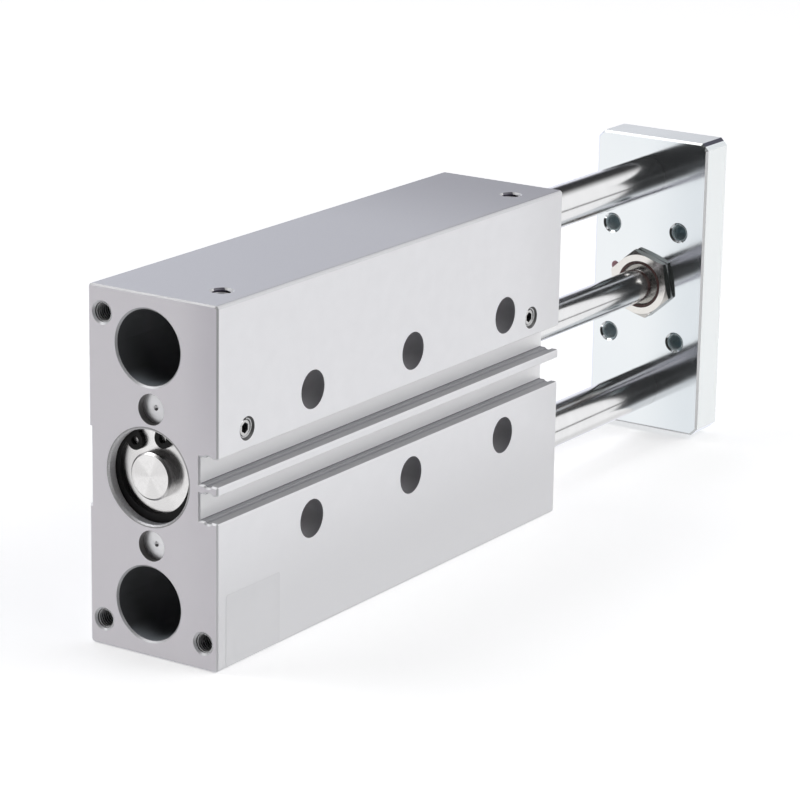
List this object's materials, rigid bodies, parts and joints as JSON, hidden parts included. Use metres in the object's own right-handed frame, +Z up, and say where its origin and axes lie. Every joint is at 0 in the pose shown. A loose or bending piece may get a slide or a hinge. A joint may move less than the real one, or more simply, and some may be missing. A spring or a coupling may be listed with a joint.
{
  "type": "guided pneumatic cylinder",
  "caption": "Compact air cylinder in a slotted block housing: a piston rod between guide rods carries a drilled yoke plate that slides out and back.",
  "frame": {"origin": "centre of the housing's narrow bottom face", "axes": "+X the way the yoke moves out, +Y towards the wide back face away from the sensor slots, +Z up along the row of rods"},
  "size_m": [0.2545, 0.039, 0.092],
  "materials": {
    "anodised_aluminium": "fine matt blasted, clear anodised",
    "turned_aluminium": "turned, bright",
    "blackened_spring_steel": "black phosphated spring steel",
    "hard_chrome_steel": "ground and hard chromed",
    "zinc_plated_steel": "bright zinc plated",
    "plated_fastener_steel": "plated steel",
    "stainless_steel": "stainless steel",
    "bearing_steel": "hardened and ground",
    "bronze": "sintered bronze",
    "bearing_plastic": "moulded, dark",
    "magnet": "plastic-bonded ferrite",
    "black_rubber": "moulded elastomer"
  },
  "bodies": {
    "cylinder": {"ball_bushing_lower_front_balls": "bearing_steel", "ball_bushing_lower_front_cage": "bearing_plastic", "ball_bushing_lower_front_shell": "bearing_steel", "ball_bushing_lower_rear_balls": "bearing_steel", "ball_bushing_lower_rear_cage": "bearing_plastic", "ball_bushing_lower_rear_shell": "bearing_steel", "ball_bushing_upper_front_balls": "bearing_steel", "ball_bushing_upper_front_cage": "bearing_plastic", "ball_bushing_upper_front_shell": "bearing_steel", "ball_bushing_upper_rear_balls": "bearing_steel", "ball_bushing_upper_rear_cage": "bearing_plastic", "ball_bushing_upper_rear_shell": "bearing_steel", "front_bearing_cap": "turned_aluminium", "front_cap_o_ring": "black_rubber", "front_channel_plug_lower": "turned_aluminium", "front_channel_plug_upper": "turned_aluminium", "front_port_plug_screw": "stainless_steel", "front_retaining_ring": "blackened_spring_steel", "guide_wiper_lower": "black_rubber", "guide_wiper_upper": "black_rubber", "housing": "anodised_aluminium", "rear_cap_o_ring": "black_rubber", "rear_channel_plug_lower": "turned_aluminium", "rear_channel_plug_upper": "turned_aluminium", "rear_end_cap": "turned_aluminium", "rear_port_plug_screw": "stainless_steel", "rear_retaining_ring": "blackened_spring_steel", "rod_bearing_bush": "bronze", "rod_seal": "black_rubber", "rod_wiper": "black_rubber"},
    "carriage": {"cushion_pad_front": "black_rubber", "cushion_pad_rear": "black_rubber", "guide_rod_lower": "hard_chrome_steel", "guide_rod_screw_lower": "plated_fastener_steel", "guide_rod_screw_upper": "plated_fastener_steel", "guide_rod_upper": "hard_chrome_steel", "piston": "turned_aluminium", "piston_guide_ring": "bearing_plastic", "piston_magnet": "magnet", "piston_nut": "plated_fastener_steel", "piston_rod": "hard_chrome_steel", "piston_seal_front": "black_rubber", "piston_seal_rear": "black_rubber", "rod_coupling_sleeve": "plated_fastener_steel", "rod_lock_nut": "plated_fastener_steel", "yoke_plate": "zinc_plated_steel"}
  },
  "joints": [
    {"name": "yoke_slide", "type": "slide", "parent": "cylinder", "child": "carriage", "axis": [1, 0, 0], "range_m": [-0.074, 0.026]}
  ]
}
